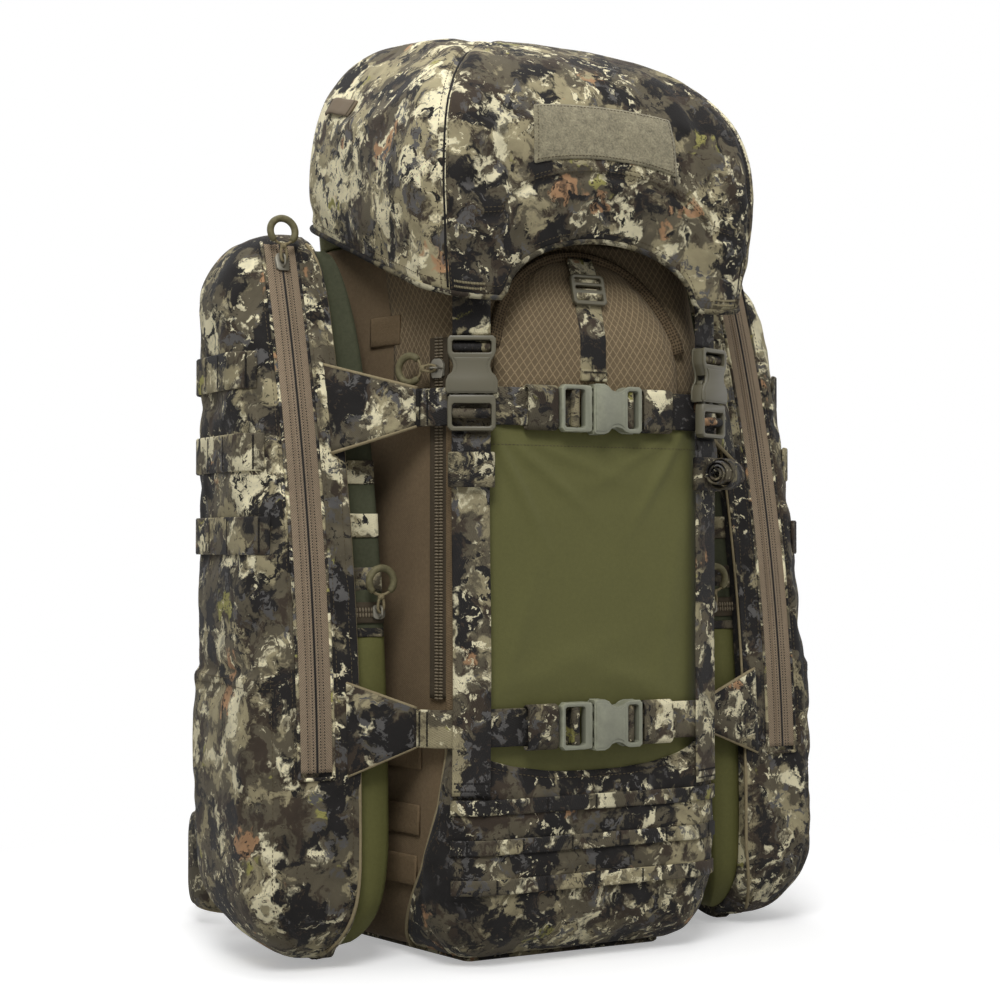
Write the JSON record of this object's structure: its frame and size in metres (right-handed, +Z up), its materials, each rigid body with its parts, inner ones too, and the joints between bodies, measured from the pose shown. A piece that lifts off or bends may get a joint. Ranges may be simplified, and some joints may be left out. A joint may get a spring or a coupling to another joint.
{
  "type": "hunting backpack",
  "caption": "Large camouflage pack with a hinged domed lid, zipped side pods, cinch straps with side-release buckles, stretch front pocket and padded harness.",
  "frame": {"origin": "middle of the base panel's underside, on the floor", "axes": "+X to the pack's right side seen from its front, +Y towards the wearer's back harness, +Z up"},
  "size_m": [0.4472, 0.3488, 0.639],
  "materials": {
    "brown_fabric": "woven",
    "camo_fabric": "printed weave",
    "olive_fabric": "fine stretch weave",
    "pad_fabric": "mesh over foam",
    "camo_webbing": "printed webbing",
    "tan_webbing": "webbing",
    "loop_patch": "napped",
    "zip_tape": "woven tape",
    "pull_cord": "matte",
    "buckle_plastic": "satin",
    "frame_plastic": "matte",
    "slider_metal": "satin",
    "stay_alloy": "satin"
  },
  "bodies": {
    "pack": {"main_bag": "brown_fabric", "base_panel": "camo_fabric", "collar": "olive_fabric", "frame_sheet": "frame_plastic", "frame_stays": "stay_alloy", "boot_panel": "camo_fabric", "boot_webbing": "camo_webbing", "stretch_pocket": "olive_fabric", "arch_panel": "brown_fabric", "front_straps": "camo_webbing", "strap_keepers": "camo_webbing", "centre_ladder_lock": "buckle_plastic", "lid_buckle_males": "buckle_plastic", "cinch_straps": "camo_webbing", "upper_buckle_female": "buckle_plastic", "lower_buckle_female": "buckle_plastic", "side_zips": "zip_tape", "pod_left": "camo_fabric", "pod_right": "camo_fabric", "pod_gussets": "olive_fabric", "pod_tabs": "camo_fabric", "pod_webbing": "camo_webbing", "pod_zips": "zip_tape", "inner_zips": "zip_tape", "lid_hinge_anchors": "slider_metal", "back_pads": "pad_fabric", "shoulder_strap_left": "pad_fabric", "shoulder_strap_right": "pad_fabric", "harness_webbing": "camo_webbing", "haul_handle": "camo_webbing"},
    "lid": {"lid_shell": "camo_fabric", "lid_floor": "olive_fabric", "lid_patch": "loop_patch", "lid_loops": "tan_webbing", "lid_hinge_straps": "camo_webbing", "lid_strap_pins": "slider_metal"},
    "lid_strap_left": {"lid_strap_left": "camo_webbing", "lid_buckle_female_left": "buckle_plastic"},
    "lid_strap_right": {"lid_strap_right": "camo_webbing", "lid_buckle_female_right": "buckle_plastic"},
    "upper_buckle": {"upper_buckle_male": "buckle_plastic", "upper_tail": "camo_webbing"},
    "lower_buckle": {"lower_buckle_male": "buckle_plastic", "lower_tail": "camo_webbing"},
    "side_slider_left": {"side_slider_left": "slider_metal"},
    "side_pull_left": {"side_pull_left": "pull_cord"},
    "side_slider_right": {"side_slider_right": "slider_metal"},
    "side_pull_right": {"side_pull_right": "pull_cord"},
    "pod_slider_left": {"pod_slider_left": "slider_metal"},
    "pod_pull_left": {"pod_pull_left": "pull_cord"},
    "pod_slider_right": {"pod_slider_right": "slider_metal"},
    "pod_pull_right": {"pod_pull_right": "pull_cord"},
    "inner_slider_left": {"inner_slider_left": "slider_metal"},
    "inner_pull_left": {"inner_pull_left": "pull_cord"},
    "inner_slider_right": {"inner_slider_right": "slider_metal"},
    "inner_pull_right": {"inner_pull_right": "pull_cord"},
    "belt_wing_left": {"belt_wing_left": "camo_fabric", "belt_buckle_female": "buckle_plastic"},
    "belt_wing_right": {"belt_wing_right": "camo_fabric", "belt_buckle_male": "buckle_plastic"}
  },
  "joints": [
    {"name": "lid_hinge", "type": "hinge", "parent": "pack", "child": "lid", "pos_m": [0, 0.1, 0.416], "axis": [-1, 0, 0], "range_deg": [0, 90]},
    {"name": "lid_strap_left_swing", "type": "hinge", "parent": "lid", "child": "lid_strap_left", "pos_m": [-0.09113, -0.10132, 0.443], "axis": [-1, 0, 0], "range_deg": [-45, 0]},
    {"name": "lid_strap_right_swing", "type": "hinge", "parent": "lid", "child": "lid_strap_right", "pos_m": [0.09113, -0.10132, 0.443], "axis": [-1, 0, 0], "range_deg": [-45, 0]},
    {"name": "upper_buckle_slide", "type": "slide", "parent": "pack", "child": "upper_buckle", "axis": [-1, 0, 0], "range_m": [0, 0.017]},
    {"name": "lower_buckle_slide", "type": "slide", "parent": "pack", "child": "lower_buckle", "axis": [-1, 0, 0], "range_m": [0, 0.017]},
    {"name": "side_slider_left_run", "type": "slide", "parent": "pack", "child": "side_slider_left", "axis": [0, 0, -1], "range_m": [0, 0.2]},
    {"name": "side_pull_left_swing", "type": "hinge", "parent": "side_slider_left", "child": "side_pull_left", "pos_m": [-0.10707, -0.0794, 0.3955], "axis": [0, 0, 1], "range_deg": [0, 100]},
    {"name": "side_slider_right_run", "type": "slide", "parent": "pack", "child": "side_slider_right", "axis": [0, 0, -1], "range_m": [0, 0.2]},
    {"name": "side_pull_right_swing", "type": "hinge", "parent": "side_slider_right", "child": "side_pull_right", "pos_m": [0.10707, -0.0794, 0.3955], "axis": [0, 0, -1], "range_deg": [0, 100]},
    {"name": "pod_slider_left_run", "type": "hinge", "parent": "pack", "child": "pod_slider_left", "pos_m": [-0.1836, 1.117, 0.084], "axis": [1, 0, 0], "range_deg": [0, 15]},
    {"name": "pod_pull_left_swing", "type": "hinge", "parent": "pod_slider_left", "child": "pod_pull_left", "pos_m": [-0.1836, -0.00485, 0.47122], "axis": [1, 0, 0], "range_deg": [0, 140]},
    {"name": "pod_slider_right_run", "type": "hinge", "parent": "pack", "child": "pod_slider_right", "pos_m": [0.1836, 1.117, 0.084], "axis": [1, 0, 0], "range_deg": [0, 15]},
    {"name": "pod_pull_right_swing", "type": "hinge", "parent": "pod_slider_right", "child": "pod_pull_right", "pos_m": [0.1836, -0.00485, 0.47122], "axis": [1, 0, 0], "range_deg": [0, 140]},
    {"name": "inner_slider_left_run", "type": "slide", "parent": "pack", "child": "inner_slider_left", "axis": [-1, 0, 0], "range_m": [0, 0.007]},
    {"name": "inner_pull_left_swing", "type": "hinge", "parent": "inner_slider_left", "child": "inner_pull_left", "pos_m": [-0.1338, -0.05117, 0.23486], "axis": [1, 0, 0], "range_deg": [0, 120]},
    {"name": "inner_slider_right_run", "type": "slide", "parent": "pack", "child": "inner_slider_right", "axis": [1, 0, 0], "range_m": [0, 0.007]},
    {"name": "inner_pull_right_swing", "type": "hinge", "parent": "inner_slider_right", "child": "inner_pull_right", "pos_m": [0.1338, -0.05117, 0.23486], "axis": [1, 0, 0], "range_deg": [0, 120]},
    {"name": "belt_wing_left_swing", "type": "hinge", "parent": "pack", "child": "belt_wing_left", "pos_m": [-0.1, 0.1013, 0.048], "axis": [0, 0, -1], "range_deg": [-5, 55]},
    {"name": "belt_wing_right_swing", "type": "hinge", "parent": "pack", "child": "belt_wing_right", "pos_m": [0.1, 0.1013, 0.048], "axis": [0, 0, 1], "range_deg": [-5, 55]}
  ],
  "couplings": [
    {"joint": "lid_strap_left_swing", "follows": "lid_hinge", "ratio": -0.5},
    {"joint": "lid_strap_right_swing", "follows": "lid_hinge", "ratio": -0.5}
  ]
}
